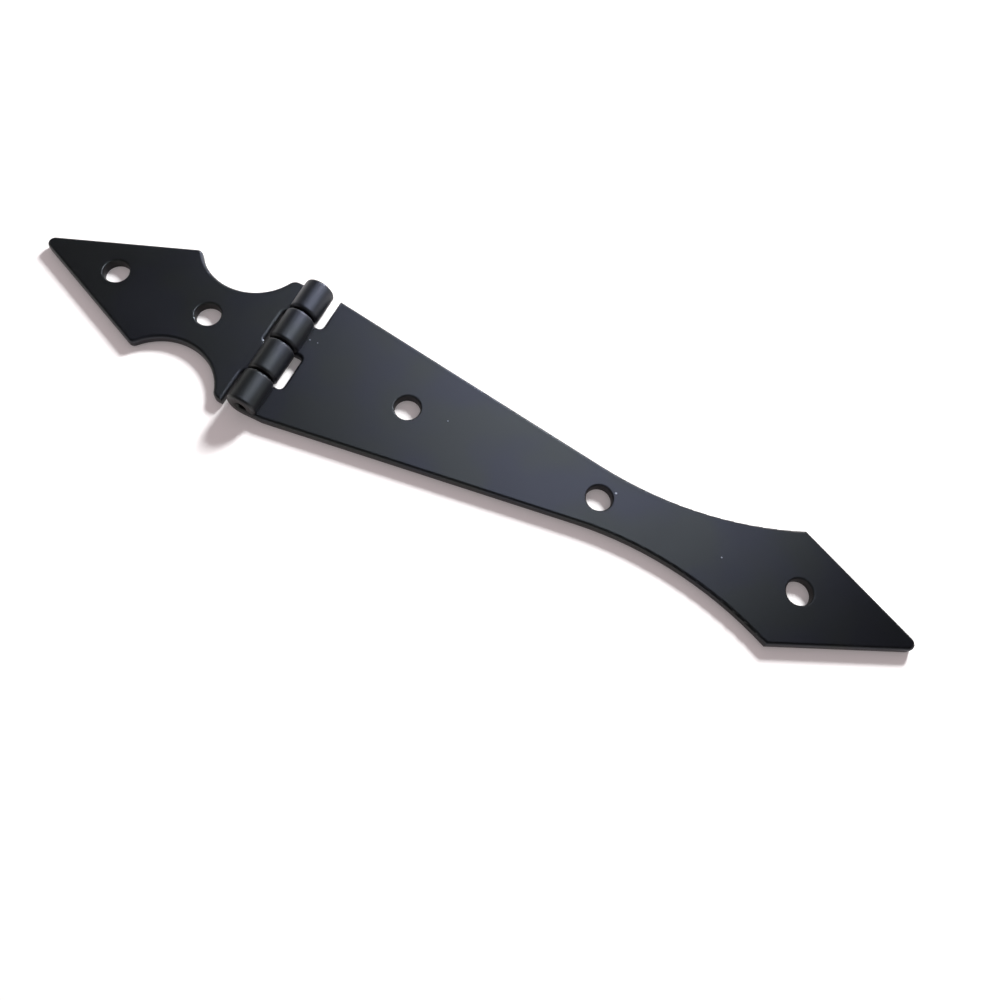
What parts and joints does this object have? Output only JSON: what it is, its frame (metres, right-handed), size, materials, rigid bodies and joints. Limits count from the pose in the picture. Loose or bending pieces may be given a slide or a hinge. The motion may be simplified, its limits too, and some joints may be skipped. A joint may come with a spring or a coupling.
{
  "type": "strap hinge",
  "caption": "Flat black strap hinge: short spear-shaped leaf with round waist cut-outs, long tapering strap with a spear head, rolled barrel on a pin, punched screw holes.",
  "frame": {"origin": "centre of the strap's middle screw hole, on the back plane of both leaves", "axes": "+X along the hinge to the strap's tip, +Y across the leaves along the pin, +Z out of the front, where the barrel stands"},
  "size_m": [0.2, 0.0326, 0.0067],
  "materials": {
    "powder_coat": "satin black powder coat on steel sheet",
    "pin_steel": "blackened drawn steel wire"
  },
  "bodies": {
    "leaf_and_pin": {"short_leaf": "powder_coat", "hinge_pin": "pin_steel"},
    "strap": {"strap_leaf": "powder_coat"}
  },
  "joints": [
    {"name": "pin_fold", "type": "hinge", "parent": "leaf_and_pin", "child": "strap", "pos_m": [-0.0736, 0, 0.00335], "axis": [0, -1, 0], "range_deg": [-105, 180]}
  ]
}
